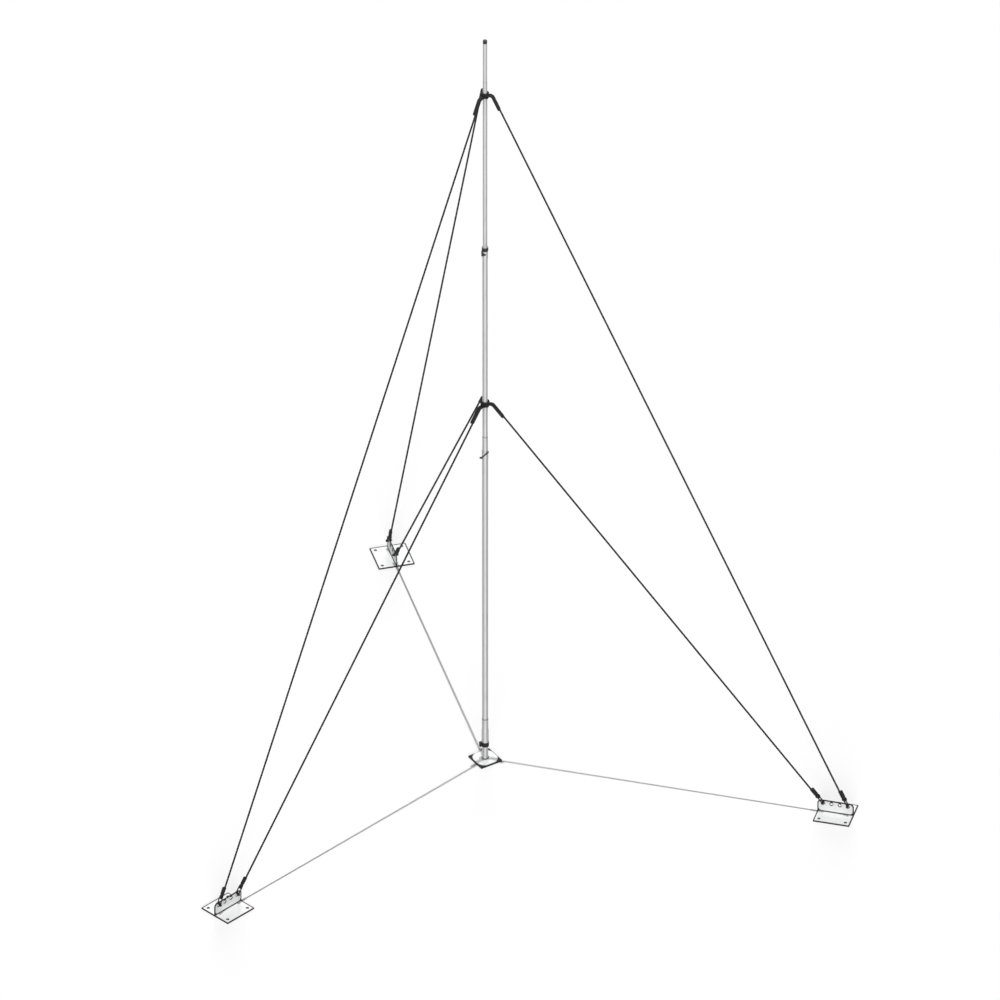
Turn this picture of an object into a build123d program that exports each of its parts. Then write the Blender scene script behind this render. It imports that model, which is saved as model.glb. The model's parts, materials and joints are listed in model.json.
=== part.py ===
"""A seven metre guyed radio mast: three tubes on a rubber-footed base, six rope guys and three anchors.

Millimetres, +Z up. The origin is on the mast's axis, at the underside of the base pad.
"""
from build123d import *
import os
from math import asin, atan2, cos, degrees, hypot, radians, sin, tan

# ---- driving dimensions -------------------------------------------------------------------------
# base
pad_side = 200
pad_thick = 10
pad_corner = 6
base_side = 182
base_thick = 6
base_corner = 66
base_turn = -12

# the foot tube and the sleeve that joins it to the mast
foot_dia = 48.3
foot_wall = 3.2
foot_top = 250
foot_weld = 4
collar_dia = 62
collar_low = 135
collar_high = 175
collar_turn = 240
collar_slot = 3
ear_reach = 48
ear_width = 22
ear_bolt_dia = 8
ear_bolt_end = 9
ear_bolt_head = 15
ear_bolt_head_thick = 5.5
sleeve_dia = 57
sleeve_shoulder = 286
sleeve_neck = 300
sleeve_high = 400
sleeve_neck_wall = 1.4

# mast tubes, each top end at its own height
lower_dia = 48.3
lower_wall = 2.6
lower_top = 3000
middle_dia = 42.4
middle_wall = 2.6
middle_top = 5000
top_dia = 36
top_wall = 2.4
top_top = 6600
overlap = 180
spigot_dia = 34
spigot_bore = 22
spigot_top = 6972
spigot_seat = 60
cap_dia = 33.6
cap_top = 7000
cap_round = 4
cap_plug = 25

# joints between the tubes
gland_dia = 52
gland_low = 2942
gland_lip = 22
ferrule_dia = 45
ferrule_top = 3160
lever_thick = 5
lever_wide = 10
lever_tilt = 50
lever_fall = 190
lever_height = 2980
lever_from = 225
lever_to = 395
lever_knob_dia = 17
lever_knob_long = 13
socket_dia = 47
socket_low = 4900
ring_dia = 51
ring_low = 4968
paddle_from = 232
paddle_to = 318
paddle_height = 4942
paddle_tall = 50
paddle_tip = 8
paddle_thick = 7

# guys: where they leave the mast, and the rope
lower_guy_height = 3485
upper_guy_height = 6475
rope_dia = 16
leg_gap = 0.5
loop_gap = 0.3
loop_pitch = 16.4
loop_mouth = 50
knee_reach = 42
knee_radius = 30
join_radius = 12
neck_length = 140
boot_short = 8
stop_wide = 7
stop_high = 12
boot_wide = 36
boot_high = 24
boot_gap = 0.3

# anchors
anchor_turns = {"front": 270, "right": 30, "back": 150}
anchor_radius = 2750
anchor_side = 300
anchor_thick = 8
anchor_corner = 5
anchor_hole_dia = 17
anchor_hole_inset = 40
fin_height = 110
fin_thick = 6
fin_corner = 35
fin_hole_dia = 23
fin_hole_depth = 30
fin_hole_first = 48
fin_hole_pitch = 68
fin_hole_count = 4

# shackles, rope eyes and their clamps
shackle_rod = 10
shackle_inside = 20
shackle_long = 68
shackle_ear_dia = 22
shackle_ear_thick = 11
pin_dia = 12
pin_head_dia = 18
pin_head_thick = 5
thimble_wall = 1.5
thimble_hug = 75
eye_mouth = 50
eye_radius = 15.3
eye_tail = 84
clamp_wide = 37
clamp_thick = 21
clamp_low = 21
clamp_high = 80

fit_gap = 0.15
seat_gap = 0.2


# ---- helpers ------------------------------------------------------------------------------------
os.makedirs("parts", exist_ok=True)


def save(name, shape):
    """Write one node's solid, or its separate solids together, as a STEP file."""
    shape.label = name
    export_step(shape, f"parts/{name}.step")


def ring(outer, inner, low, high):
    """A round tube on the mast's axis between two heights."""
    body = Cylinder(outer / 2, high - low, align=(Align.CENTER, Align.CENTER, Align.MIN))
    hole = Cylinder(inner / 2, high - low, align=(Align.CENTER, Align.CENTER, Align.MIN))
    return Pos(0, 0, low) * (body - hole)


def rod(start, end, diameter):
    """A round bar between two points."""
    start = Vector(*start)
    axis = Vector(*end) - start
    plane = Plane(origin=start, z_dir=axis)
    return extrude(plane * Circle(diameter / 2), amount=axis.length)


def rounded_path(points, radii):
    """Straight runs through the points, joined by tangent arcs of the given radii."""
    points = [Vector(*p) for p in points]
    edges = []
    start = points[0]
    for before, corner, after, radius in zip(points, points[1:], points[2:], radii):
        into = (corner - before).normalized()
        out = (after - corner).normalized()
        half = radians(into.get_angle(out)) / 2
        first = corner - into * (radius * tan(half))
        last = corner + out * (radius * tan(half))
        middle = corner + (out - into).normalized() * (radius / cos(half) - radius)
        if (first - start).length > 0.01:
            edges.append(Line(start, first))
        edges.append(ThreePointArc(first, middle, last))
        start = last
    edges.append(Line(start, points[-1]))
    return Wire([edge.edge() for edge in edges])


def sweep_along(path, section, x_dir):
    """A flat section carried along a path, its own X kept on x_dir at the start."""
    plane = Plane(origin=path @ 0, x_dir=x_dir, z_dir=path % 0)
    return sweep(plane * section, path=path)


def loop_points(radius, mouth, join):
    """Corners of a round eye, drawn in its own plane, that opens towards +X.

    The legs leave the circle at the mouth angle either side of +X, and run in until they lie
    join apart from the middle line.
    """
    quarter = (180 - mouth) / 2
    corner = radius / cos(radians(quarter))
    run = (radius * sin(radians(mouth)) - join) / cos(radians(mouth))
    reach = radius * cos(radians(mouth)) + run * sin(radians(mouth))
    turn = radians(180 - quarter)
    return [(reach, -join), (corner * cos(turn), -corner * sin(turn)),
            (corner * cos(turn), corner * sin(turn)), (reach, join)]


# ---- values shared by the pieces ----------------------------------------------------------------
plate_top = pad_thick + base_thick
rope_radius = rope_dia / 2
leg_offset = rope_radius + leg_gap / 2
fin_top = anchor_thick + fin_height
fin_hole_height = fin_top - fin_hole_depth
hole_radii = [anchor_radius + fin_hole_first + i * fin_hole_pitch for i in range(fin_hole_count)]
pin_lift = (fin_hole_dia - pin_dia) / 2 - seat_gap
thimble_bore = eye_radius - rope_radius - fit_gap - thimble_wall
eye_lift = pin_lift + shackle_long + thimble_bore - shackle_rod / 2 - seat_gap


# ---- base ---------------------------------------------------------------------------------------
def square_plate(side, corner, low, thick):
    outline = Rot(0, 0, base_turn) * RectangleRounded(side, side, corner)
    return extrude(Pos(0, 0, low) * outline, amount=thick)


def make_base():
    save("base_pad", square_plate(pad_side, pad_corner, 0, pad_thick))
    save("base_plate", square_plate(base_side, base_corner, pad_thick, base_thick))

    tube = ring(foot_dia, foot_dia - 2 * foot_wall, plate_top, foot_top)
    weld = Pos(0, 0, plate_top) * Cone(
        foot_dia / 2 + foot_weld, foot_dia / 2, foot_weld, align=(Align.CENTER, Align.CENTER, Align.MIN))
    bore = Pos(0, 0, plate_top) * Cylinder(
        foot_dia / 2 - foot_wall, foot_weld, align=(Align.CENTER, Align.CENTER, Align.MIN))
    save("foot_tube", tube + (weld - bore))

    height = collar_high - collar_low
    body = ring(collar_dia, foot_dia + 2 * fit_gap, collar_low, collar_high)
    ears = Pos(0, 0, collar_low) * Box(
        ear_reach, ear_width, height, align=(Align.MIN, Align.CENTER, Align.MIN))
    ears -= Pos(0, 0, collar_low) * Cylinder(
        foot_dia / 2 + fit_gap, height, align=(Align.CENTER, Align.CENTER, Align.MIN))
    slot = Pos(0, 0, collar_low) * Box(
        ear_reach, collar_slot, height, align=(Align.MIN, Align.CENTER, Align.MIN))
    bolt_x = (collar_dia / 2 + ear_reach) / 2
    bolt_z = (collar_low + collar_high) / 2
    bolt_half = ear_width / 2
    hole = rod((bolt_x, -bolt_half, bolt_z), (bolt_x, bolt_half, bolt_z), ear_bolt_dia + 2 * fit_gap)
    save("base_collar", Rot(0, 0, collar_turn) * (body + ears - slot - hole))

    shank = rod((bolt_x, -bolt_half - ear_bolt_end, bolt_z), (bolt_x, bolt_half, bolt_z), ear_bolt_dia)
    head = extrude(RegularPolygon(ear_bolt_head / 2, 6), amount=ear_bolt_head_thick)
    head = Pos(bolt_x, bolt_half, bolt_z) * Rot(-90, 0, 0) * head
    save("base_collar_bolt", Rot(0, 0, collar_turn) * (shank + head))

    bore = foot_dia / 2 + fit_gap
    neck = lower_dia / 2 + fit_gap + sleeve_neck_wall
    profile = Polyline((bore, collar_high), (sleeve_dia / 2, collar_high), (sleeve_dia / 2, sleeve_shoulder),
                       (neck, sleeve_neck), (neck, sleeve_high), (bore, sleeve_high), close=True)
    save("base_sleeve", revolve(Plane.XZ * make_face(profile), axis=Axis.Z))


# ---- tubes --------------------------------------------------------------------------------------
def make_tubes():
    save("lower_tube", ring(lower_dia, lower_dia - 2 * lower_wall, foot_top, lower_top))
    save("middle_tube", ring(middle_dia, middle_dia - 2 * middle_wall, lower_top - overlap, middle_top))
    save("top_tube", ring(top_dia, top_dia - 2 * top_wall, middle_top - overlap, top_top))

    seat_dia = top_dia - 2 * top_wall - 2 * fit_gap
    spigot = ring(spigot_dia, spigot_bore, top_top, spigot_top)
    spigot += ring(seat_dia, spigot_bore, top_top - spigot_seat, top_top)
    save("antenna_spigot", spigot)

    cap = Pos(0, 0, spigot_top) * Cylinder(
        cap_dia / 2, cap_top - spigot_top, align=(Align.CENTER, Align.CENTER, Align.MIN))
    cap = fillet(cap.edges().sort_by(Axis.Z)[-1], cap_round)
    cap += Pos(0, 0, spigot_top - cap_plug) * Cylinder(
        spigot_bore / 2 - fit_gap, cap_plug, align=(Align.CENTER, Align.CENTER, Align.MIN))
    save("top_cap", cap)


# ---- joints between the tubes -------------------------------------------------------------------
def make_tube_joints():
    gland_top = lower_top + gland_lip
    gland = ring(gland_dia, lower_dia + 2 * fit_gap, gland_low, lower_top)
    gland += ring(gland_dia, middle_dia + 2 * fit_gap, lower_top, gland_top)
    save("lower_joint_gland", gland)
    save("lower_joint_ferrule", ring(ferrule_dia, middle_dia + 2 * fit_gap, gland_top, ferrule_top))
    save("lower_joint_lever", lower_lever())
    save("upper_joint_socket", ring(socket_dia, middle_dia + 2 * fit_gap, socket_low, ring_low))
    save("upper_joint_ring", ring(ring_dia, middle_dia + 2 * fit_gap, ring_low, middle_top))
    save("upper_joint_lever", upper_lever())


def sector(start, end, low, high):
    """A wedge about the mast's axis between two bearings and two heights."""
    reach = 4 * lower_dia
    middle = radians((start + end) / 2)
    points = [(0, 0)]
    for turn in (radians(start), middle, radians(end)):
        points.append((reach * cos(turn), reach * sin(turn)))
    return extrude(Pos(0, 0, low) * make_face(Polyline(*points, close=True)), amount=high - low)


def lower_lever():
    """A strap lever that slopes down round the gland to its knob."""
    inner = gland_dia / 2 + fit_gap
    outer = inner + lever_thick
    low = lever_height - 2 * gland_dia
    high = lever_height + 2 * gland_dia
    wall = ring(2 * outer, 2 * inner, low, high)
    slab = Box(4 * outer, 4 * outer, lever_wide)
    slab = Pos(0, 0, lever_height) * Rot(0, 0, lever_fall) * Rot(0, lever_tilt, 0) * slab
    strap = (wall & slab) & sector(lever_from, lever_to, low, high)
    turn = radians(lever_from)
    reach = (inner + lever_thick / 2) * cos(radians(lever_from - lever_fall))
    height = lever_height - reach * tan(radians(lever_tilt))
    knob = rod((inner * cos(turn), inner * sin(turn), height),
               ((outer + lever_knob_long) * cos(turn), (outer + lever_knob_long) * sin(turn), height),
               lever_knob_dia)
    knob -= Pos(0, 0, low) * Cylinder(inner, high - low, align=(Align.CENTER, Align.CENTER, Align.MIN))
    return strap + knob


def upper_lever():
    """A tapered paddle lever that lies round the socket."""
    inner = socket_dia / 2 + fit_gap
    outer = inner + paddle_thick
    wall = ring(2 * outer, 2 * inner, paddle_height - paddle_tall, paddle_height + paddle_tall)
    middle = (paddle_from + paddle_to) / 2
    half_span = outer * sin(radians((paddle_to - paddle_from) / 2))
    blade = Polyline((-half_span, -paddle_tall / 2), (-half_span, paddle_tall / 2),
                     (half_span, paddle_tip / 2), (half_span, -paddle_tip / 2), close=True)
    blade = extrude(Plane.XZ * make_face(blade), amount=2 * outer)
    return wall & (Pos(0, 0, paddle_height) * Rot(0, 0, middle + 90) * blade)


# ---- guys ---------------------------------------------------------------------------------------
class Guy:
    """One guy's geometry in its own upright plane, r outwards from the mast and z up."""

    def __init__(self, turn, tube_dia, height, hole_radius):
        self.turn = turn
        self.height = height
        self.loop_radius = tube_dia / 2 + loop_gap + rope_radius
        self.knee_r = tube_dia / 2 + knee_reach
        self.hole_r = hole_radius
        rise = height - fin_hole_height
        run = hole_radius - self.knee_r
        self.slope = degrees(atan2(rise, run) + asin(leg_offset / hypot(rise, run)))

    def place(self, r, side, z):
        """A point of the guy's plane in the mast's frame, side mm to the left of the plane."""
        turn = radians(self.turn)
        return (r * cos(turn) - side * sin(turn), r * sin(turn) + side * cos(turn), z)

    def along(self, distance, out=0):
        """A point on the guy's line, distance mm from its anchor hole, and out mm above the line."""
        slope = radians(self.slope)
        return (self.hole_r - distance * cos(slope) + out * sin(slope),
                fin_hole_height + distance * sin(slope) + out * cos(slope))

    def below_knee(self, distance):
        """A point on the guy's line, distance mm down from the knee beside the mast."""
        slope = radians(self.slope)
        return self.knee_r + distance * cos(slope), self.height - distance * sin(slope)

    def rope_points(self):
        """The rope's corners and bend radii, from its tail at the mast to its tail at the anchor."""
        r, z = self.below_knee(neck_length)
        points = [self.place(r, -leg_offset, z), self.place(self.knee_r, -leg_offset, self.height)]
        for x, y in loop_points(self.loop_radius, loop_mouth, leg_offset):
            points.append(self.place(x, y, self.height))
        points.append(self.place(self.knee_r, leg_offset, self.height))
        radii = [knee_radius, join_radius, self.loop_radius, self.loop_radius, join_radius, knee_radius]
        for x, y in loop_points(eye_radius, eye_mouth, leg_offset):
            r, z = self.along(eye_lift + x, y)
            points.append(self.place(r, 0, z))
        r, z = self.along(eye_lift + eye_tail, leg_offset)
        points.append(self.place(r, 0, z))
        return points, radii + [join_radius, eye_radius, eye_radius, join_radius]

    def rope(self):
        points, radii = self.rope_points()
        path = rounded_path(points, radii)
        return sweep_along(path, Circle(rope_radius), Vector(*self.place(0, 1, 0)))

    def boot(self):
        """The moulded sleeve over both legs of the loop, bent down to the guy's slope."""
        join = loop_points(self.loop_radius, loop_mouth, leg_offset)[-1][0]
        start = join + join_radius * tan(radians(90 - loop_mouth) / 2) + fit_gap
        r, z = self.below_knee(neck_length - boot_short)
        points = [self.place(start, 0, self.height), self.place(self.knee_r, 0, self.height),
                  self.place(r, 0, z)]
        path = rounded_path(points, [knee_radius])
        side = Vector(*self.place(0, 1, 0))
        outer = SlotOverall(boot_wide, boot_high)
        return sweep_along(path, outer, side) - sweep_along(path, leg_bore(), side)

    def clamp(self):
        """The pressed sleeve that holds the rope's two legs together above the eye."""
        low = Vector(*self.place(*spread(self.along(eye_lift + clamp_low))))
        high = Vector(*self.place(*spread(self.along(eye_lift + clamp_high))))
        plane = Plane(origin=low, x_dir=self.normal(), z_dir=high - low)
        outer = extrude(plane * SlotOverall(clamp_wide, clamp_thick), amount=(high - low).length)
        return outer - extrude(plane * leg_bore(), amount=(high - low).length)

    def normal(self):
        """The direction square to the guy's line, in its own upright plane."""
        foot = Vector(*self.place(*spread(self.along(0))))
        return Vector(*self.place(*spread(self.along(0, 1)))) - foot

    def thimble(self):
        """The grooved liner of the rope eye."""
        points = []
        for x, y in loop_points(eye_radius, eye_mouth, leg_offset):
            points.append(self.place(*spread(self.along(eye_lift + x, y))))
        path = rounded_path(points, [eye_radius, eye_radius])
        bore = rope_radius + fit_gap
        reach = 2 * rope_dia
        across = reach * sin(radians(thimble_hug))
        inwards = reach * cos(radians(thimble_hug))
        hugged = make_face(Polyline((0, 0), (across, inwards), (across, reach), (-across, reach),
                                    (-across, inwards), close=True))
        groove = (Circle(bore + thimble_wall) - Circle(bore)) & hugged
        return sweep_along(path, groove, Vector(*self.place(0, 1, 0)))

    def shackle(self):
        """A long D shackle: the bent rod and its two drilled ears."""
        half = (shackle_inside + shackle_rod) / 2
        points = [self.place(*spread(self.along(pin_lift + d), side))
                  for d, side in ((0, half), (shackle_long, half), (shackle_long, -half), (0, -half))]
        body = sweep_along(rounded_path(points, [half, half]), Circle(shackle_rod / 2), self.normal())
        inside = half - shackle_ear_thick / 2
        outside = half + shackle_ear_thick / 2
        for side in (-1, 1):
            start = self.place(*spread(self.along(pin_lift), side * inside))
            end = self.place(*spread(self.along(pin_lift), side * outside))
            body += rod(start, end, shackle_ear_dia)
        start = self.place(*spread(self.along(pin_lift), -outside))
        end = self.place(*spread(self.along(pin_lift), outside))
        return body - rod(start, end, pin_dia + 2 * fit_gap)

    def pin(self):
        """The shackle's pin, with its head on one side."""
        out = (shackle_inside + shackle_rod + shackle_ear_thick) / 2
        r_z = self.along(pin_lift)
        shank = rod(self.place(*spread(r_z, -out - pin_head_thick)), self.place(*spread(r_z, out)), pin_dia)
        head = rod(self.place(*spread(r_z, out)), self.place(*spread(r_z, out + pin_head_thick)),
                   pin_head_dia)
        return shank + head


def spread(r_z, side=0):
    """The r and z of a guy's plane, with the distance to the side put between them."""
    return r_z[0], side, r_z[1]


def leg_bore():
    """The hole that both of a rope's legs pass through side by side."""
    return SlotOverall(2 * (leg_offset + rope_radius + boot_gap), rope_dia + 2 * boot_gap)


def make_guys():
    for level, (tube_dia, height, hole) in {
            "lower": (middle_dia, lower_guy_height, hole_radii[0]),
            "upper": (top_dia, upper_guy_height, hole_radii[-1])}.items():
        ends = []
        for place, (name, turn) in enumerate(anchor_turns.items()):
            guy = Guy(turn, tube_dia, height + (place - 1) * loop_pitch, hole)
            ends.append(guy)
            save(f"{level}_guy_{name}", guy.rope())
            save(f"{level}_boot_{name}", guy.boot())
        save(f"{level}_eye_clamps", Compound([guy.clamp() for guy in ends]))
        save(f"{level}_thimbles", Compound([guy.thimble() for guy in ends]))
        save(f"{level}_shackles", Compound([guy.shackle() for guy in ends]))
        save(f"{level}_shackle_pins", Compound([guy.pin() for guy in ends]))
        stop_top = height - loop_pitch - rope_radius - fit_gap
        save(f"{level}_guy_stop", ring(tube_dia + 2 * stop_wide, tube_dia + 2 * fit_gap,
                                       stop_top - stop_high, stop_top))


# ---- anchors ------------------------------------------------------------------------------------
def anchor_plate():
    """A square plate on edge with the mast, with a hole near each corner."""
    middle = anchor_radius + anchor_side / 2
    sheet = RectangleRounded(anchor_side, anchor_side, anchor_corner)
    spacing = anchor_side - 2 * anchor_hole_inset
    sheet -= GridLocations(spacing, spacing, 2, 2) * Circle(anchor_hole_dia / 2)
    return extrude(Pos(middle, 0, 0) * sheet, amount=anchor_thick)


def anchor_fin():
    """The upright fin along the plate's middle, pierced by a row of holes under its top edge."""
    low, high = anchor_radius, anchor_radius + anchor_side
    outline = make_face(Polyline((low, anchor_thick), (high, anchor_thick), (high, fin_top),
                                 (low, fin_top), close=True))
    outline = fillet(outline.vertices().group_by(Axis.Y)[-1], fin_corner)
    for radius in hole_radii:
        outline -= Pos(radius, fin_hole_height) * Circle(fin_hole_dia / 2)
    return Pos(0, fin_thick / 2, 0) * extrude(Plane.XZ * outline, amount=fin_thick)


def make_anchors():
    for name, turn in anchor_turns.items():
        save(f"{name}_anchor_plate", Rot(0, 0, turn) * anchor_plate())
        save(f"{name}_anchor_fin", Rot(0, 0, turn) * anchor_fin())


make_base()
make_tubes()
make_tube_joints()
make_guys()
make_anchors()
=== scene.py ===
"""Looks of a seven metre guyed radio mast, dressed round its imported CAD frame.

Metres, +Z up, the mast on the Z axis and the ground at zero.
"""
import json
from math import asin, atan2, ceil, cos, hypot, pi, radians, sin, tan

import bmesh
import bpy
from mathutils import Matrix, Vector


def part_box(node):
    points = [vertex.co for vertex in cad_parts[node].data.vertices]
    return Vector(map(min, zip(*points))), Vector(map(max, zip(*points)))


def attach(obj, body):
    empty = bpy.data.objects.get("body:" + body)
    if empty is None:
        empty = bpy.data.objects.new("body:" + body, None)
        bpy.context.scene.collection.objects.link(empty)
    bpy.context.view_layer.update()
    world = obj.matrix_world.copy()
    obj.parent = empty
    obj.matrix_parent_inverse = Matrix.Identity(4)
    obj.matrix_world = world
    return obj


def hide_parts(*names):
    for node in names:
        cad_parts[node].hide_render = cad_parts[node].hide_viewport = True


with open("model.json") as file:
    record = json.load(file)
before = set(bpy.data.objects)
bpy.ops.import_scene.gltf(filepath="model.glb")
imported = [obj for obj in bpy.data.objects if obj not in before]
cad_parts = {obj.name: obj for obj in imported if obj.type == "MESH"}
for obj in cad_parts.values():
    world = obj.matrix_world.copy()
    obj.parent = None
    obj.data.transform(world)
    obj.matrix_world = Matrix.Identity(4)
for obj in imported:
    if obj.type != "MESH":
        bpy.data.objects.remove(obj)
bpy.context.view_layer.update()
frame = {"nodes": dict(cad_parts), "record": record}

# ---- sizes --------------------------------------------------------------------------------------
# rope and guys
ROPE_DIA = 0.016
LAY = 0.062
LAY_STEPS = 14
STRANDS = 3
STRAND_SWELL = 1.2
YARNS = 7
YARN_PITCH = 0.0021
WHIP_TURNS = 4
WHIP_STEPS = 16
WHIP_PITCH = 0.0009
WHIP_TWINE = 0.0005
LEG_OFFSET = ROPE_DIA / 2 + 0.00025
LOOP_GAP = 0.0003
LOOP_MOUTH = radians(50)
KNEE_REACH = 0.042
KNEE_RADIUS = 0.030
JOIN_RADIUS = 0.012
NECK_LENGTH = 0.140
EYE_MOUTH = radians(50)
EYE_RADIUS = 0.0153
EYE_TAIL = 0.084
EYE_LIFT = 0.07375
CLAMP_LOW = 0.021
CLAMP_HIGH = 0.080
CLAMP_WIDE = 0.037
CLAMP_THICK = 0.021
PIN_LIFT = 0.0053
PIN_END = 0.0255
PIN_TAIL = 0.005
PIN_RING_RADIUS = 0.0085
PIN_RING_WIRE = 0.0006
PIN_RING_PITCH = 0.0011

# anchors: the edge rim is the width of dark steel left bare along cut edges, and the hole rim the width of
# painted shade round and inside the holes
FIN_THICK = 0.006
FIN_WELD = 0.0032
WELD_INSET = 0.004
FIN_CORNER = 0.035
PLATE_CORNER = 0.014
HOLE_SHADE_RIM = 0.005
EDGE_RIM = 0.0095
WEAR_EDGE = 0.002

# base
COLLAR_TURN = radians(240)
COLLAR_BOLT_REACH = 0.0395
EAR_HALF = 0.011
BOLT_DIA = 0.008
WASHER_RADIUS = 0.0085
WASHER_THICK = 0.0014
NUT_RADIUS = 0.0072
NUT_THICK = 0.0058
FOOT_TUBE_RADIUS = 0.02415
FOOT_WELD = 0.0034

# grip ribs on the black ring and the cap, and the stop rings' screws
RIB_INSET = 0.003
RING_RIBS = 40
RING_RIB_DEPTH = 0.0007
RING_RIB_WIDTH = 0.0018
CAP_RIBS = 28
CAP_RIB_DEPTH = 0.0006
CAP_RIB_WIDTH = 0.0016
CAP_RIB_LOW = 0.026
CAP_RIB_HIGH = 0.006
SCREW_RADIUS = 0.0032
SCREW_LENGTH = 0.0022
SCREW_RIM = 0.0014
SCREW_SOCKET = 0.0013
SCREW_TURNS = (radians(90), radians(210), radians(330))

# stage: how pale the floor and the studio are to soft light, and how white they look
FLOOR_HALF = 60
FLOOR_SHADE = 0.06
FLOOR_WHITE = 0.89
STUDIO_SHADE = 0.15
STUDIO_WHITE = 1.0

# camera: millimetres for the lens and its sensor, and metres from the mast's foot for its aim
LENS = 1700
SENSOR = 36
CAMERA_DISTANCE = 378.06
AIM_RIGHT = 0.1188
AIM_UP = 2.0739

# heights of the seams between the mast's pieces
SLEEVE_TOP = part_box("base_sleeve")[1].z
FERRULE_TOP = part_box("lower_joint_ferrule")[1].z
SPIGOT_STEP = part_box("top_tube")[1].z


def half_width(node):
    """Half of a round CAD node's width."""
    low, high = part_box(node)
    return (high.x - low.x) / 2


def mount(name):
    """Where a mount of the record lies."""
    for entry in frame["record"]["mounts"]:
        if entry["name"] == name:
            return Vector(entry["pos_m"])


ANCHORS = ("front", "right", "back")
TURNS = {name: atan2(mount(f"{name}_anchor_bolts").y, mount(f"{name}_anchor_bolts").x) for name in ANCHORS}
PLATE_MIDDLE = mount("front_anchor_bolts").xy.length
PLATE_TOP = mount("front_anchor_bolts").z
PLATE_HALF = (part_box("front_anchor_plate")[1].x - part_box("front_anchor_plate")[0].x) / 2
FIN_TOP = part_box("front_anchor_fin")[1].z
HOLE_HEIGHT = mount("front_fin_hole_2").z
HOLE_PITCH = (mount("front_fin_hole_3") - mount("front_fin_hole_2")).length
HOLE_RADIUS = 0.0115
BOLT_HOLE_INSET = 0.040
BOLT_HOLE_RADIUS = 0.0085
FIRST_HOLE = PLATE_MIDDLE - 1.5 * HOLE_PITCH
LAST_HOLE = PLATE_MIDDLE + 1.5 * HOLE_PITCH


# ---- materials ----------------------------------------------------------------------------------
class Finish:
    """One procedural material, built node by node round its shader."""

    def __init__(self, name, roughness, metallic=0.0, specular=0.5):
        self.material = bpy.data.materials.new(name)
        self.material.use_nodes = True
        self.tree = self.material.node_tree
        self.shader = self.tree.nodes["Principled BSDF"]
        self.shader.inputs["Roughness"].default_value = roughness
        self.shader.inputs["Metallic"].default_value = metallic
        self.shader.inputs["Specular IOR Level"].default_value = specular
        self.place = self.node("ShaderNodeTexCoord").outputs["Object"]

    def node(self, kind, inputs=None, **settings):
        """Add a node, with its settings and its inputs as numbers or links."""
        made = self.tree.nodes.new(kind)
        for key, value in settings.items():
            setattr(made, key, value)
        for key, value in (inputs or {}).items():
            if isinstance(value, bpy.types.NodeSocket):
                self.tree.links.new(value, made.inputs[key])
            else:
                made.inputs[key].default_value = value
        return made

    def math(self, operation, *values):
        """The result of one sum on numbers or links."""
        return self.node("ShaderNodeMath", dict(enumerate(values)), operation=operation).outputs[0]

    def length(self, x, y):
        """The straight distance covered by a step along x and one along y."""
        squares = self.math("ADD", self.math("MULTIPLY", x, x), self.math("MULTIPLY", y, y))
        return self.math("SQRT", squares)

    def stretched(self, x, y, z):
        """The object's own coordinates, stretched along each axis."""
        return self.node("ShaderNodeMapping", {"Vector": self.place, "Scale": (x, y, z)}).outputs[0]

    def turned(self, centre, turn):
        """The object's own coordinates as seen from a piece's centre and bearing."""
        return self.node("ShaderNodeMapping", {"Vector": self.place, "Location": centre,
                                               "Rotation": (0, 0, turn)}, vector_type="TEXTURE").outputs[0]

    def noise(self, scale, detail=3.0, vector=None):
        return self.node("ShaderNodeTexNoise", {"Vector": vector or self.place, "Scale": scale,
                                                "Detail": detail}).outputs["Fac"]

    def cells(self, scale, output="Color"):
        return self.node("ShaderNodeTexVoronoi", {"Vector": self.place, "Scale": scale}).outputs[output]

    def spread(self, value, low, high, out_low=0.0, out_high=1.0):
        """A value from low to high brought onto another range, and held inside it."""
        return self.node("ShaderNodeMapRange", {"Value": value, "From Min": low, "From Max": high,
                                                "To Min": out_low, "To Max": out_high}).outputs["Result"]

    def blend(self, share, first, second):
        """Two colours mixed by a share."""
        made = self.node("ShaderNodeMix", {"Factor": share}, data_type="RGBA")
        for socket, value in (("A_Color", first), ("B_Color", second)):
            target = next(s for s in made.inputs if s.identifier == socket)
            if isinstance(value, bpy.types.NodeSocket):
                self.tree.links.new(value, target)
            else:
                target.default_value = (*value, 1)
        return next(s for s in made.outputs if s.identifier == "Result_Color")

    def paint(self, colour=None, roughness=None, height=None, distance=0.0002, strength=0.6):
        """Link the shader's colour, roughness and bump."""
        if colour:
            self.tree.links.new(colour, self.shader.inputs["Base Color"])
        if roughness:
            self.tree.links.new(roughness, self.shader.inputs["Roughness"])
        if height:
            bump = self.node("ShaderNodeBump", {"Height": height, "Distance": distance,
                                                "Strength": strength})
            self.tree.links.new(bump.outputs["Normal"], self.shader.inputs["Normal"])
        return self.material


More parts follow.
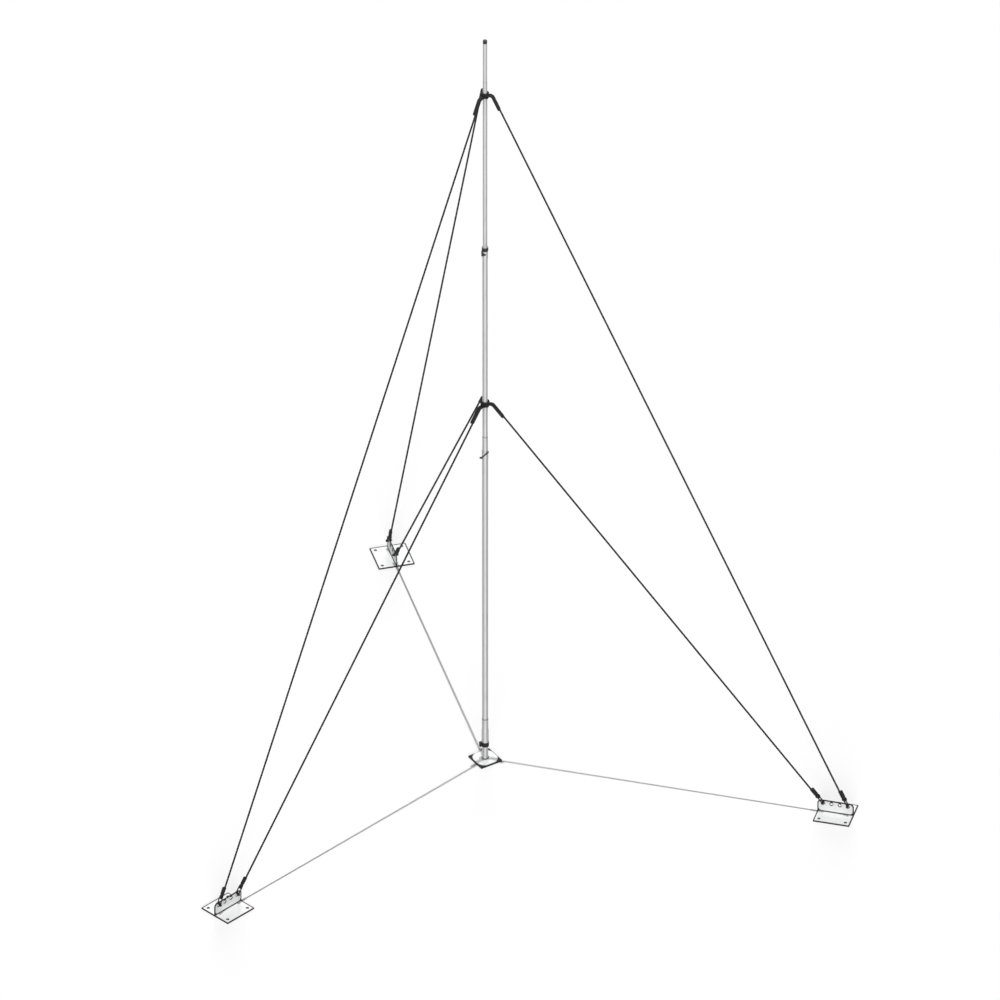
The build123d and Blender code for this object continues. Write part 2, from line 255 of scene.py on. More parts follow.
def aluminium(name, seams):
    """Satin grey tube with a lengthwise grain and gloss, scuffs, and a painted shade line at each of its
    seams.
    """
    finish = Finish(name, 0.62, metallic=0.8, specular=0.1)
    finish.shader.inputs["Anisotropic"].default_value = 0.75
    finish.shader.inputs["Anisotropic Rotation"].default_value = 0.25
    grain = finish.noise(1, 4, finish.stretched(900, 900, 9))
    scuff = finish.noise(1, 6, finish.stretched(55, 55, 9))
    colour = finish.blend(grain, (0.47, 0.473, 0.476), (0.55, 0.553, 0.553))
    colour = finish.blend(finish.spread(scuff, 0.58, 0.76, 0, 0.4), colour, (0.32, 0.32, 0.32))
    height = finish.node("ShaderNodeSeparateXYZ", {"Vector": finish.place}).outputs["Z"]
    wander = finish.spread(finish.noise(90), 0, 1, -0.0012, 0.0012)
    # painted shade: a dark brownish line round each seam, where the step between pieces would throw shade
    for seam, reach, depth in seams:
        gap = finish.math("ABSOLUTE", finish.math("SUBTRACT", finish.math("ADD", height, wander), seam))
        colour = finish.blend(finish.spread(gap, 0.35 * reach, reach, depth, 0), colour, (0.10, 0.085, 0.07))
    return finish.paint(colour, finish.spread(scuff, 0.3, 0.7, 0.6, 0.68), grain, 0.00008)


def zinc(name):
    """Hot-dip zinc with a faint spangle, as a finish that is still to be painted."""
    finish = Finish(name, 0.6, metallic=0.15, specular=0.15)
    spangle = finish.cells(70)
    grey = finish.node("ShaderNodeSeparateColor", {"Color": spangle}).outputs["Red"]
    cloud = finish.noise(14, 4)
    patches = finish.math("MULTIPLY", finish.math("ADD", grey, cloud), 0.5)
    colour = finish.blend(patches, (0.71, 0.72, 0.725), (0.80, 0.805, 0.805))
    return finish, colour, grey


def zinc_plain(name):
    """Plain zinc, with no bare edge."""
    finish, colour, grey = zinc(name)
    return finish.paint(colour, finish.spread(grey, 0, 1, 0.42, 0.58), finish.noise(420), 0.0001)


def rounded_edge(finish, x, y, half_x, half_y, corner):
    """How far inside a round-cornered outline a point lies, up to the corner's radius."""
    over_x = finish.math("MAXIMUM", finish.math("SUBTRACT", finish.math("ABSOLUTE", x), half_x - corner), 0)
    over_y = finish.math("MAXIMUM", finish.math("SUBTRACT", finish.math("ABSOLUTE", y), half_y - corner), 0)
    return finish.math("SUBTRACT", corner, finish.length(over_x, over_y))


def distance_from(finish, x, y, centre_x, centre_y):
    """The distance of a point from a centre."""
    return finish.length(finish.math("SUBTRACT", x, centre_x), finish.math("SUBTRACT", y, centre_y))


def edged_zinc(name, turn, upright):
    """Zinc on an anchor's plate or fin, with bare dark steel along its cut edges and painted shade round and
    inside its holes.
    """
    finish, colour, _ = zinc(name)
    centre = (PLATE_MIDDLE * cos(turn), PLATE_MIDDLE * sin(turn), 0)
    split = finish.node("ShaderNodeSeparateXYZ", {"Vector": finish.turned(centre, turn)})
    x = split.outputs["X"]
    wander = finish.spread(finish.noise(120, 4), 0, 1, -0.0012, 0.0012)
    if upright:
        middle = (PLATE_TOP + FIN_TOP) / 2
        y = finish.math("SUBTRACT", split.outputs["Z"], middle)
        inside = rounded_edge(finish, x, y, PLATE_HALF, (FIN_TOP - PLATE_TOP) / 2, FIN_CORNER)
        holes = [(share * HOLE_PITCH, HOLE_HEIGHT - middle) for share in (0.5, 1.5)]
        hole_radius = HOLE_RADIUS
        x = finish.math("ABSOLUTE", x)
    else:
        y = split.outputs["Y"]
        inside = rounded_edge(finish, x, y, PLATE_HALF, PLATE_HALF, PLATE_CORNER)
        inset = PLATE_HALF - BOLT_HOLE_INSET
        holes = [(inset, inset)]
        hole_radius = BOLT_HOLE_RADIUS
        x, y = finish.math("ABSOLUTE", x), finish.math("ABSOLUTE", y)
    dark = finish.spread(finish.math("ADD", inside, wander), EDGE_RIM * 0.7, EDGE_RIM * 1.3, 1, 0)
    for hole_x, hole_y in holes:
        if upright:
            beside = finish.math("ABSOLUTE", finish.math("SUBTRACT", x, hole_x))
            beside = finish.math("ADD", beside, wander)
            worn = finish.spread(beside, HOLE_RADIUS - WEAR_EDGE, HOLE_RADIUS + WEAR_EDGE, 1, 0)
            above = finish.spread(y, hole_y - WEAR_EDGE, hole_y + WEAR_EDGE)
            dark = finish.math("MAXIMUM", dark, finish.math("MULTIPLY", worn, above))
        # painted shade: each hole's wall and a rim round it are darkened, as shade inside the hole would be
        gap = finish.math("SUBTRACT", distance_from(finish, x, y, hole_x, hole_y), hole_radius)
        ring = finish.spread(finish.math("ADD", gap, wander), HOLE_SHADE_RIM * 0.6, HOLE_SHADE_RIM * 1.3, 1, 0)
        dark = finish.math("MAXIMUM", dark, ring)
    # the dark colour of the bare steel edges and wear, and of the painted shade round the holes
    rust_and_hole_shade = finish.blend(finish.noise(60, 5), (0.012, 0.011, 0.011), (0.032, 0.027, 0.024))
    colour = finish.blend(dark, colour, rust_and_hole_shade)
    return finish.paint(colour, finish.spread(dark, 0, 1, 0.48, 0.75), finish.noise(420), 0.0001)


def blackened_steel():
    finish = Finish("blackened_steel", 0.5, metallic=0.55, specular=0.4)
    worn = finish.noise(160, 6)
    colour = finish.blend(finish.noise(40, 4), (0.008, 0.008, 0.009), (0.022, 0.0215, 0.022))
    colour = finish.blend(finish.spread(worn, 0.66, 0.8, 0, 0.5), colour, (0.22, 0.21, 0.20))
    return finish.paint(colour, finish.spread(worn, 0.3, 0.7, 0.42, 0.62), finish.noise(600), 0.00012)


def black_rubber():
    finish = Finish("black_rubber", 0.8, specular=0.3)
    dust = finish.noise(30, 5)
    colour = finish.blend(finish.spread(dust, 0.45, 0.8), (0.006, 0.006, 0.0065), (0.022, 0.021, 0.020))
    return finish.paint(colour, finish.spread(dust, 0.3, 0.7, 0.7, 0.9), finish.noise(900, 2), 0.0002)


def black_plastic():
    finish = Finish("black_plastic", 0.5, specular=0.4)
    colour = finish.blend(finish.noise(50, 3), (0.007, 0.007, 0.008), (0.018, 0.018, 0.020))
    pebble = finish.cells(900, "Distance")
    return finish.paint(colour, finish.spread(finish.noise(45), 0.3, 0.7, 0.42, 0.6), pebble, 0.00015)


def strand_finish(name, dark, light):
    """Twisted yarn: ridges that wind round each strand against the rope's own lay, their crests painted
    lighter as a highlight.
    """
    finish = Finish(name, 0.82, specular=0.25)
    split = finish.node("ShaderNodeSeparateXYZ", {
        "Vector": finish.node("ShaderNodeAttribute", attribute_name="lay").outputs["Vector"]})
    along, across, up = split.outputs
    turn = finish.math("ARCTAN2", up, across)
    wound = finish.math("MULTIPLY", along, 2 * pi / YARN_PITCH)
    wind = finish.math("ADD", finish.math("MULTIPLY", turn, YARNS), wound)
    yarn = finish.spread(finish.math("SINE", wind), -1, 1)
    fuzz = finish.noise(2400, 3)
    # painted highlight: the yarns' crests take the lighter colour, the hollows the darker
    colour = finish.blend(finish.math("MULTIPLY", yarn, fuzz), dark, light)
    finish.shader.inputs["Sheen Weight"].default_value = 0.05
    return finish.paint(colour, None, finish.math("ADD", yarn, fuzz), 0.00025, 0.8)


def weld_metal():
    finish = Finish("weld_metal", 0.55, metallic=0.5)
    heat = finish.noise(140, 4)
    colour = finish.blend(heat, (0.05, 0.046, 0.044), (0.15, 0.135, 0.12))
    return finish.paint(colour, finish.spread(heat, 0.3, 0.7, 0.45, 0.65), finish.noise(900), 0.0001)


def bright_zinc():
    finish = Finish("bright_zinc", 0.35, metallic=0.8)
    colour = finish.blend(finish.noise(260, 4), (0.42, 0.43, 0.44), (0.62, 0.62, 0.61))
    roughness = finish.spread(finish.noise(80), 0.3, 0.7, 0.28, 0.45)
    return finish.paint(colour, roughness, finish.noise(1500), 0.00005)


def twine():
    finish = Finish("whipping_twine", 0.85, specular=0.2)
    colour = finish.blend(finish.noise(1200, 3), (0.02, 0.02, 0.02), (0.07, 0.068, 0.065))
    return finish.paint(colour, None, finish.noise(2500, 2), 0.0001)


# ---- helpers for new pieces ---------------------------------------------------------------------
def add_piece(name, mesh, slot, *materials):
    """Put a finished mesh in the scene, riding on the mast."""
    for material in materials:
        mesh.materials.append(material)
    piece = bpy.data.objects.new(name, mesh)
    bpy.context.collection.objects.link(piece)
    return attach(piece, "root")


def close_mesh(name, bm, sharp=radians(38)):
    """A mesh from a bmesh, its normals outwards, smooth but for its sharp edges."""
    bmesh.ops.remove_doubles(bm, verts=bm.verts, dist=1e-7)
    bmesh.ops.recalc_face_normals(bm, faces=bm.faces)
    mesh = bpy.data.meshes.new(name)
    bm.to_mesh(mesh)
    bm.free()
    mesh.shade_smooth()
    mesh.set_sharp_from_angle(angle=sharp)
    return mesh


def tube_mesh(name, runs, radius, sides=2, swell=None):
    """Round rods along runs of points, swollen at each point by swell(number) where it is given."""
    curve = bpy.data.curves.new(name, "CURVE")
    curve.dimensions = "3D"
    curve.bevel_depth = radius
    curve.bevel_resolution = sides
    curve.use_fill_caps = True
    for points, closed in runs:
        spline = curve.splines.new("POLY")
        spline.points.add(len(points) - 1)
        spline.use_cyclic_u = closed
        for number, (knot, point) in enumerate(zip(spline.points, points)):
            knot.co = (*point, 1)
            knot.radius = swell(number) if swell else 1
    holder = bpy.data.objects.new(name, curve)
    bpy.context.collection.objects.link(holder)
    mesh = bpy.data.meshes.new_from_object(holder.evaluated_get(bpy.context.evaluated_depsgraph_get()))
    bpy.data.objects.remove(holder)
    bpy.data.curves.remove(curve)
    mesh.name = name
    mesh.materials.clear()
    mesh.shade_smooth()
    mesh.set_sharp_from_angle(angle=radians(60))
    return mesh


def circle_points(centre, radius, across, up, steps):
    """Points round a circle drawn in the plane of two directions."""
    turns = [2 * pi * step / steps for step in range(steps)]
    return [centre + across * (radius * cos(t)) + up * (radius * sin(t)) for t in turns]


def add_prism(bm, sides, radius, start, axis, length, chamfer=0.0):
    """A bar of a few sides from start along an axis, with its end edges bevelled."""
    turn = Vector((0, 0, 1)).rotation_difference(axis).to_matrix().to_4x4()
    matrix = Matrix.Translation(start + axis * (length / 2)) @ turn
    made = bmesh.ops.create_cone(bm, cap_ends=True, cap_tris=False, segments=sides, radius1=radius,
                                 radius2=radius, depth=length, matrix=matrix)
    if chamfer:
        ends = [edge for edge in {e for v in made["verts"] for e in v.link_edges}
                if abs((edge.verts[0].co - edge.verts[1].co).dot(axis)) < length / 2]
        bmesh.ops.bevel(bm, geom=ends, offset=chamfer, segments=2, profile=0.5, affect="EDGES", material=-1)


def add_washer(bm, outer, inner, start, axis, thick, sides=32):
    """A flat ring from start along an axis."""
    side = axis.orthogonal().normalized()
    corners = [bm.verts.new(start + side * r + axis * h)
               for r, h in ((inner, 0), (outer, 0), (outer, thick), (inner, thick))]
    edges = [bm.edges.new((corners[i], corners[(i + 1) % 4])) for i in range(4)]
    bmesh.ops.spin(bm, geom=corners + edges, cent=start, axis=axis, dvec=(0, 0, 0), angle=2 * pi,
                   steps=sides, use_merge=True, use_duplicate=False)


# ---- rope routes --------------------------------------------------------------------------------
def rounded_route(corners, bends):
    """Points along straight runs through the corners, joined by tangent arcs."""
    route = [corners[0]]
    for before, corner, after, bend in zip(corners, corners[1:], corners[2:], bends):
        into = (corner - before).normalized()
        out = (after - corner).normalized()
        half = into.angle(out) / 2
        middle = corner + (out - into).normalized() * (bend / cos(half))
        first = corner - into * (bend * tan(half)) - middle
        axis = into.cross(out).normalized()
        steps = max(2, ceil(2 * half / radians(9)))
        for step in range(steps + 1):
            route.append(middle + Matrix.Rotation(2 * half * step / steps, 3, axis) @ first)
    route.append(corners[-1])
    return route


def evenly(route, step):
    """The route again as points a step apart."""
    points = [route[0]]
    left = step
    for start, end in zip(route, route[1:]):
        run = (end - start).length
        done = 0.0
        while run - done >= left:
            done += left
            points.append(start.lerp(end, done / run))
            left = step
        left -= run - done
    return points


def lay_strands(points, step, side, centre, lay):
    """The middle lines of a rope's strands, wound round an even route."""
    strands = [[] for _ in range(STRANDS)]
    tangent = (points[1] - points[0]).normalized()
    across = (side - tangent * side.dot(tangent)).normalized()
    for number, point in enumerate(points):
        ahead = points[min(number + 1, len(points) - 1)] - points[max(number - 1, 0)]
        ahead.normalize()
        across = (across - ahead * across.dot(ahead)).normalized()
        up = ahead.cross(across)
        for strand, line in enumerate(strands):
            phase = 2 * pi * (number * step / lay + strand / STRANDS)
            line.append(point + across * (centre * cos(phase)) + up * (centre * sin(phase)))
    return strands


def eye_corners(radius, mouth, join):
    """Corners of a round eye that opens outwards, its legs join apart from the middle line."""
    quarter = (pi - mouth) / 2
    corner = radius / cos(quarter)
    run = (radius * sin(mouth) - join) / cos(mouth)
    reach = radius * cos(mouth) + run * sin(mouth)
    return [(reach, -join), (-corner * cos(quarter), -corner * sin(quarter)),
            (-corner * cos(quarter), corner * sin(quarter)), (reach, join)]


class Guy:
    """One guy's lines in its own upright plane, outwards from the mast and up."""

    def __init__(self, turn, tube_radius, height, hole_radius):
        self.out = Vector((cos(turn), sin(turn), 0))
        self.side = Vector((-sin(turn), cos(turn), 0))
        self.height = height
        self.hole_radius = hole_radius
        self.loop_radius = tube_radius + LOOP_GAP + ROPE_DIA / 2
        self.knee = tube_radius + KNEE_REACH
        rise = height - HOLE_HEIGHT
        run = hole_radius - self.knee
        self.slope = atan2(rise, run) + asin(LEG_OFFSET / hypot(rise, run))
        self.uphill = Vector((0, 0, sin(self.slope))) - self.out * cos(self.slope)
        self.above = Vector((0, 0, cos(self.slope))) + self.out * sin(self.slope)

    def place(self, reach, side, height):
        return self.out * reach + self.side * side + Vector((0, 0, height))

    def along(self, distance, above=0.0, side=0.0):
        """A point on the guy's line, measured up from its anchor hole."""
        hole = self.place(self.hole_radius, side, HOLE_HEIGHT)
        return hole + self.uphill * distance + self.above * above

    def below_knee(self, distance, side=0.0):
        """A point on the guy's line, measured down from the knee beside the mast."""
        return self.place(self.knee, side, self.height) - self.uphill * distance

    def route(self):
        corners = [self.below_knee(NECK_LENGTH, -LEG_OFFSET), self.place(self.knee, -LEG_OFFSET, self.height)]
        for x, y in eye_corners(self.loop_radius, LOOP_MOUTH, LEG_OFFSET):
            corners.append(self.place(x, y, self.height))
        corners.append(self.place(self.knee, LEG_OFFSET, self.height))
        for x, y in eye_corners(EYE_RADIUS, EYE_MOUTH, LEG_OFFSET):
            corners.append(self.along(EYE_LIFT + x, y))
        corners.append(self.along(EYE_LIFT + EYE_TAIL, LEG_OFFSET))
        bends = [KNEE_RADIUS, JOIN_RADIUS, self.loop_radius, self.loop_radius, JOIN_RADIUS, KNEE_RADIUS,
                 JOIN_RADIUS, EYE_RADIUS, EYE_RADIUS, JOIN_RADIUS]
        return rounded_route(corners, bends)


def guys():
    """Every guy with its level and anchor: the loops of a level are stacked on each other."""
    found = []
    for level, tube, hole in (("lower", "middle_tube", FIRST_HOLE), ("upper", "top_tube", LAST_HOLE)):
        for name in ANCHORS:
            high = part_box(f"{level}_guy_{name}")[1]
            guy = Guy(TURNS[name], half_width(tube), high.z - ROPE_DIA / 2, hole)
            found.append((level, name, guy))
    return found


# ---- pieces -------------------------------------------------------------------------------------
def add_rope(level, name, guy, black, tracer):
    """A three-strand laid rope along the guy's whole route, one strand of it a grey tracer."""
    step = LAY / LAY_STEPS
    strand_radius = ROPE_DIA / 2 / (1 + 2 / 3 ** 0.5) * STRAND_SWELL
    points = evenly(guy.route(), step)
    lines = lay_strands(points, step, guy.side, ROPE_DIA / 2 - strand_radius, LAY)
    mesh = tube_mesh(f"{level}_{name}_rope", [(line, False) for line in lines], strand_radius)
    count = len(mesh.vertices) // (STRANDS * len(points))
    lay = mesh.attributes.new("lay", "FLOAT_VECTOR", "POINT")
    values = []
    for number in range(len(mesh.vertices)):
        ring, corner = divmod(number, count)
        turn = 2 * pi * corner / count
        values += [ring % len(points) * step, cos(turn), sin(turn)]
    lay.data.foreach_set("vector", values)
    tracer_from = len(points) * count * (STRANDS - 1)
    for face in mesh.polygons:
        face.material_index = int(face.vertices[0] >= tracer_from)
    rope = add_piece(f"{level}_{name}_laid_rope", mesh, "black_rope", black, tracer)
    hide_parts(f"{level}_guy_{name}")


def add_whippings(level, level_guys, material):
    """Twine wound round each rope's two cut ends."""
    radius = ROPE_DIA / 2 + 0.0002
    runs = []
    for guy in level_guys:
        ends = ((guy.below_knee(NECK_LENGTH, -LEG_OFFSET), guy.uphill),
                (guy.along(EYE_LIFT + EYE_TAIL, LEG_OFFSET), -guy.uphill))
        for end, back in ends:
            up = back.cross(guy.side)
            points = []
            for number in range(WHIP_TURNS * WHIP_STEPS + 1):
                turn = 2 * pi * number / WHIP_STEPS
                start = end + back * (0.0004 + WHIP_PITCH * number / WHIP_STEPS)
                points.append(start + guy.side * (radius * cos(turn)) + up * (radius * sin(turn)))
            runs.append((points, False))
    mesh = tube_mesh(f"{level}_whippings", runs, WHIP_TWINE, 1)
    add_piece(f"{level}_rope_whippings", mesh, "black_rope", material)


def add_clamp_bands(level, level_guys, material):
    """Raised crimp bands round each eye's pressed sleeve."""
    bm = bmesh.new()
    for guy in level_guys:
        for share in (0.12, 0.5, 0.88):
            middle = guy.along(EYE_LIFT + CLAMP_LOW + share * (CLAMP_HIGH - CLAMP_LOW))
            add_slot_band(bm, middle, guy.uphill, guy.above, guy.side)
    add_piece(f"{level}_crimp_bands", close_mesh(f"{level}_crimp_bands", bm), "black_rubber", material)


def add_slot_band(bm, middle, axis, long_way, short_way, wide=0.007, proud=0.0012):
    """A band of a slot's outline, standing a little proud of the sleeve it grips."""
    straight = (CLAMP_WIDE - CLAMP_THICK) / 2
    loops = []
    sunk = CLAMP_THICK / 2 - 0.0002
    high = CLAMP_THICK / 2 + proud
    slope = wide / 2 - 0.001
    for radius, shift in ((sunk, -wide / 2), (high, -slope), (high, slope), (sunk, wide / 2)):
        ring = []
        for half, centre in ((0, straight), (1, -straight)):
            for step in range(9):
                turn = -pi / 2 + pi * step / 8 + pi * half
                ring.append(bm.verts.new(middle + axis * shift + long_way * (centre + radius * cos(turn))
                                         + short_way * (radius * sin(turn))))
        loops.append([bm.edges.new((ring[i], ring[(i + 1) % len(ring)])) for i in range(len(ring))])
    for first, second in zip(loops, loops[1:] + loops[:1]):
        bmesh.ops.bridge_loops(bm, edges=first + second)


def add_pin_rings(level, level_guys, material):
    """A split ring of two turns through the plain end of each shackle pin."""
    runs = []
    for guy in level_guys:
        end = guy.along(PIN_LIFT, 0, -PIN_END + PIN_TAIL / 2)
        centre = end - Vector((0, 0, PIN_RING_RADIUS - 0.001))
        for coil in range(2):
            middle = centre + guy.out * (PIN_RING_PITCH * coil)
            runs.append((circle_points(middle, PIN_RING_RADIUS, guy.side, Vector((0, 0, 1)), 32), True))
    mesh = tube_mesh(f"{level}_pin_rings", runs, PIN_RING_WIRE, 1)
    add_piece(f"{level}_pin_rings", mesh, "blackened_steel", material)


def add_weld(name, runs, radius, material):
    """Ripples of weld metal, four points long, laid along runs of points."""
    mesh = tube_mesh(name, runs, radius, 2, lambda number: 0.86 + 0.14 * abs(sin(pi * number / 4)))
    add_piece(name, mesh, "galvanised_steel", material)


def add_fin_welds(material):
    """A bead along the foot of each fin, on both of its sides."""
    for name in ANCHORS:
        turn = TURNS[name]
        out = Vector((cos(turn), sin(turn), 0))
        side = Vector((-sin(turn), cos(turn), 0))
        steps = 460
        runs = []
        for sign in (-1, 1):
            sunk = FIN_WELD * 0.4
            start = out * (PLATE_MIDDLE - PLATE_HALF + WELD_INSET) + side * (sign * (FIN_THICK / 2 + sunk))
            start.z = PLATE_TOP + sunk
            run = 2 * (PLATE_HALF - WELD_INSET)
            runs.append(([start + out * (run * n / steps) for n in range(steps + 1)], False))
        add_weld(f"{name}_fin_welds", runs, FIN_WELD, material)


def add_foot_weld(material):
    """A rippled bead round the foot of the foot tube."""
    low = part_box("foot_tube")[0].z
    shift = FOOT_WELD * 0.75
    centre = Vector((0, 0, low + shift))
    points = circle_points(centre, FOOT_TUBE_RADIUS + shift, Vector((1, 0, 0)), Vector((0, 1, 0)), 240)
    add_weld("foot_tube_weld", [(points, True)], FOOT_WELD, material)


def add_collar_fasteners(material):
    """A washer and a nut on the collar's bolt."""
    out = Vector((cos(COLLAR_TURN), sin(COLLAR_TURN), 0))
    axis = Vector((sin(COLLAR_TURN), -cos(COLLAR_TURN), 0))
    low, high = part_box("base_collar")
    middle = out * COLLAR_BOLT_REACH + Vector((0, 0, (low.z + high.z) / 2))
    bm = bmesh.new()
    add_washer(bm, WASHER_RADIUS, BOLT_DIA / 2 + 0.0001, middle + axis * EAR_HALF, axis, WASHER_THICK)
    face = middle + axis * (EAR_HALF + WASHER_THICK)
    add_prism(bm, 6, NUT_RADIUS, face, axis, NUT_THICK, chamfer=0.0005)
    add_piece("collar_nut", close_mesh("collar_nut", bm, radians(25)), "blackened_steel", material)


def add_ribs(name, node, low, high, count, depth, width, material):
    """Upright grip ribs set round a round CAD node."""
    radius = half_width(node)
    bm = bmesh.new()
    for number in range(count):
        turn = 2 * pi * number / count
        matrix = Matrix.Rotation(turn, 4, "Z") @ Matrix.Translation((radius, 0, (low + high) / 2))
        matrix = matrix @ Matrix.Diagonal((2 * depth, width, high - low, 1))
        bmesh.ops.create_cube(bm, size=1, matrix=matrix)
    bmesh.ops.bevel(bm, geom=bm.edges, offset=depth * 0.45, segments=2, profile=0.5, affect="EDGES",
                    material=-1)
    add_piece(name, close_mesh(name, bm), "black_plastic", material)


def add_grub_screws(name, node, material):
    """Socket screws that lock a ring onto its tube."""
    radius = half_width(node)
    low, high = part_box(node)
    bm = bmesh.new()
    for turn in SCREW_TURNS:
        axis = Vector((cos(turn), sin(turn), 0))
        start = axis * (radius - 0.001) + Vector((0, 0, (low.z + high.z) / 2))
        end = start + axis * SCREW_LENGTH
        add_prism(bm, 24, SCREW_RADIUS, start, axis, SCREW_LENGTH, chamfer=0.0004)
        face = min((f for f in bm.faces if (f.calc_center_median() - start).dot(axis) > 0.002),
                   key=lambda f: (f.calc_center_median() - end).length)
        bmesh.ops.inset_region(bm, faces=[face], thickness=SCREW_RIM, depth=0)
        bmesh.ops.translate(bm, verts=face.verts, vec=axis * -SCREW_SOCKET)
    add_piece(name, close_mesh(name, bm, radians(25)), "blackened_steel", material)


# ---- CAD nodes' finishes ------------------------------------------------------------------------
def dress(node, material):
    """Give a CAD node its finish."""
    mesh = frame["nodes"][node].data
    mesh.materials.clear()
    mesh.materials.append(material)


def dress_cad(steel, rubber, plastic):
    """The finish of every CAD node that keeps its own mesh."""
    tube = aluminium("mast_tube", [])
    dress("lower_tube", aluminium("lower_tube_finish", [(SLEEVE_TOP, 0.0060, 0.8)]))
    dress("base_sleeve", aluminium("sleeve_finish", [(SLEEVE_TOP, 0.0050, 0.8)]))
    dress("foot_tube", tube)
    dress("middle_tube", aluminium("middle_tube_finish", [(FERRULE_TOP, 0.0050, 0.7)]))
    dress("lower_joint_ferrule", aluminium("ferrule_finish", [(FERRULE_TOP, 0.0040, 0.6)]))
    dress("top_tube", aluminium("top_tube_finish", [(SPIGOT_STEP, 0.0030, 0.4)]))
    for node in ("upper_joint_socket", "lower_joint_gland", "antenna_spigot", "lower_guy_stop",
                 "upper_guy_stop"):
        dress(node, tube)
    dress("base_plate", zinc_plain("base_plate_zinc"))
    for name in ANCHORS:
        dress(f"{name}_anchor_plate", edged_zinc(f"{name}_plate_zinc", TURNS[name], False))
        dress(f"{name}_anchor_fin", edged_zinc(f"{name}_fin_zinc", TURNS[name], True))
    dress("base_pad", rubber)
    for level in ("lower", "upper"):
        for name in ANCHORS:
            dress(f"{level}_boot_{name}", rubber)
        dress(f"{level}_eye_clamps", rubber)
        for part in ("thimbles", "shackles", "shackle_pins"):
            dress(f"{level}_{part}", steel)
    for node in ("top_cap", "lower_joint_lever", "upper_joint_lever", "upper_joint_ring"):
        dress(node, plastic)
    for node in ("base_collar", "base_collar_bolt"):
        dress(node, steel)


# ---- stage --------------------------------------------------------------------------------------
def background_share(tree):
    """One for the rays that see the background: straight, in gloss and through glass."""
    path = tree.nodes.new("ShaderNodeLightPath")
    total = path.outputs["Is Camera Ray"]
    for output in ("Is Glossy Ray", "Is Transmission Ray"):
        larger = tree.nodes.new("ShaderNodeMath")
        larger.operation = "MAXIMUM"
        tree.links.new(total, larger.inputs[0])
        tree.links.new(path.outputs[output], larger.inputs[1])
        total = larger.outputs[0]
    return total


def background_colour(tree, plain, background):
    """A plain grey that turns to the background's for the rays that see it."""
    mix = tree.nodes.new("ShaderNodeMix")
    mix.data_type = "RGBA"
    tree.links.new(background_share(tree), mix.inputs["Factor"])
    for identifier, grey in (("A_Color", plain), ("B_Color", background)):
        next(s for s in mix.inputs if s.identifier == identifier).default_value = (grey, grey, grey, 1)
    return next(s for s in mix.outputs if s.identifier == "Result_Color")


def add_floor():
    """A plain floor that looks white and keeps the object's shadow."""
    bm = bmesh.new()
    bmesh.ops.create_grid(bm, x_segments=1, y_segments=1, size=FLOOR_HALF)
    mesh = bpy.data.meshes.new("floor")
    bm.to_mesh(mesh)
    bm.free()
    floor = bpy.data.objects.new("floor", mesh)
    bpy.context.collection.objects.link(floor)
    material = bpy.data.materials.new("floor_paper")
    material.use_nodes = True
    tree = material.node_tree
    shader = tree.nodes["Principled BSDF"]
    shader.inputs["Roughness"].default_value = 0.9
    shader.inputs["Specular IOR Level"].default_value = 0.0
    tree.links.new(background_colour(tree, FLOOR_SHADE, FLOOR_WHITE), shader.inputs["Base Color"])
    mesh.materials.append(material)


def add_sun(name, strength, azimuth, elevation, angle):
    """A lamp far away on a bearing and at an elevation, as wide in the sky as its angle."""
    lamp = bpy.data.lights.new(name, "SUN")
    lamp.energy = strength
    lamp.angle = angle
    holder = bpy.data.objects.new(name, lamp)
    bpy.context.collection.objects.link(holder)
    towards = Vector((cos(azimuth) * cos(elevation), sin(azimuth) * cos(elevation), sin(elevation)))
    holder.rotation_euler = towards.to_track_quat("Z", "Y").to_euler()


def add_light():
    """Two low softboxes, one on either side of the mast, and a lamp straight overhead."""
    add_sun("front_softbox", 2.8, radians(-45), radians(9), radians(30))
    add_sun("back_softbox", 1.8, radians(135), radians(8), radians(30))
    add_sun("overhead_lamp", 2.37, 0, radians(90), radians(0.25))
    world = bpy.data.worlds.new("studio")
    bpy.context.scene.world = world
    world.use_nodes = True
    tree = world.node_tree
    colour = background_colour(tree, STUDIO_SHADE, STUDIO_WHITE)
    tree.links.new(colour, tree.nodes["Background"].inputs["Color"])


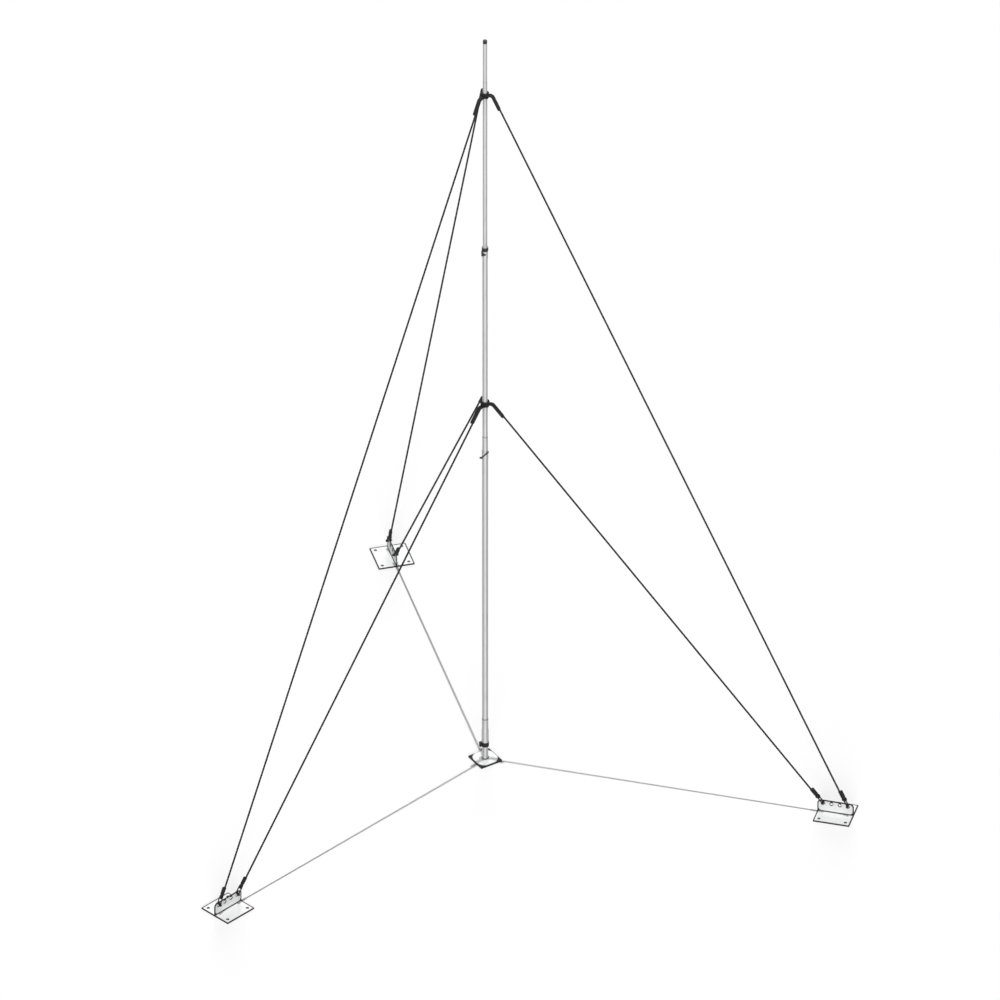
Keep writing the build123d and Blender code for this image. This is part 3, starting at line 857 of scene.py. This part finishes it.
def add_camera():
    """A long lens that looks down the isometric direction."""
    turn = radians(45)
    lift = asin(1 / 3 ** 0.5)
    right = Vector((cos(turn), sin(turn), 0))
    back = Vector((sin(turn) * cos(lift), -cos(turn) * cos(lift), sin(lift)))
    up = back.cross(right)
    target = right * AIM_RIGHT + up * AIM_UP
    data = bpy.data.cameras.new("camera")
    data.lens = LENS
    data.sensor_width = SENSOR
    data.clip_start = 1
    data.clip_end = 2 * CAMERA_DISTANCE
    camera = bpy.data.objects.new("camera", data)
    bpy.context.collection.objects.link(camera)
    camera.location = target + back * CAMERA_DISTANCE
    camera.rotation_mode = "QUATERNION"
    camera.rotation_quaternion = Matrix((right, up, back)).transposed().to_quaternion()
    bpy.context.scene.camera = camera


# ---- making -------------------------------------------------------------------------------------
def make_mast():
    """Every finish and every added piece, level by level."""
    steel, rubber, plastic = blackened_steel(), black_rubber(), black_plastic()
    dress_cad(steel, rubber, plastic)
    weld, bright, wound = weld_metal(), bright_zinc(), twine()
    black = strand_finish("black_strand", (0.004, 0.004, 0.0045), (0.016, 0.0155, 0.016))
    tracer = strand_finish("grey_tracer_strand", (0.012, 0.0115, 0.012), (0.045, 0.044, 0.045))
    for level in ("lower", "upper"):
        level_guys = []
        for guy_level, name, guy in guys():
            if guy_level == level:
                level_guys.append(guy)
                add_rope(level, name, guy, black, tracer)
        add_whippings(level, level_guys, wound)
        add_clamp_bands(level, level_guys, rubber)
        add_pin_rings(level, level_guys, bright)
    add_fin_welds(weld)
    add_foot_weld(weld)
    add_collar_fasteners(steel)
    ring_low, ring_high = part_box("upper_joint_ring")
    add_ribs("ring_grip_ribs", "upper_joint_ring", ring_low.z + RIB_INSET, ring_high.z - RIB_INSET,
             RING_RIBS, RING_RIB_DEPTH, RING_RIB_WIDTH, plastic)
    cap_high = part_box("top_cap")[1]
    add_ribs("cap_grip_ribs", "top_cap", cap_high.z - CAP_RIB_LOW, cap_high.z - CAP_RIB_HIGH,
             CAP_RIBS, CAP_RIB_DEPTH, CAP_RIB_WIDTH, plastic)
    for level in ("lower", "upper"):
        add_grub_screws(f"{level}_stop_screws", f"{level}_guy_stop", steel)


add_camera()
add_floor()
add_light()
make_mast()
view = bpy.context.scene.view_settings
view.view_transform = "Standard"
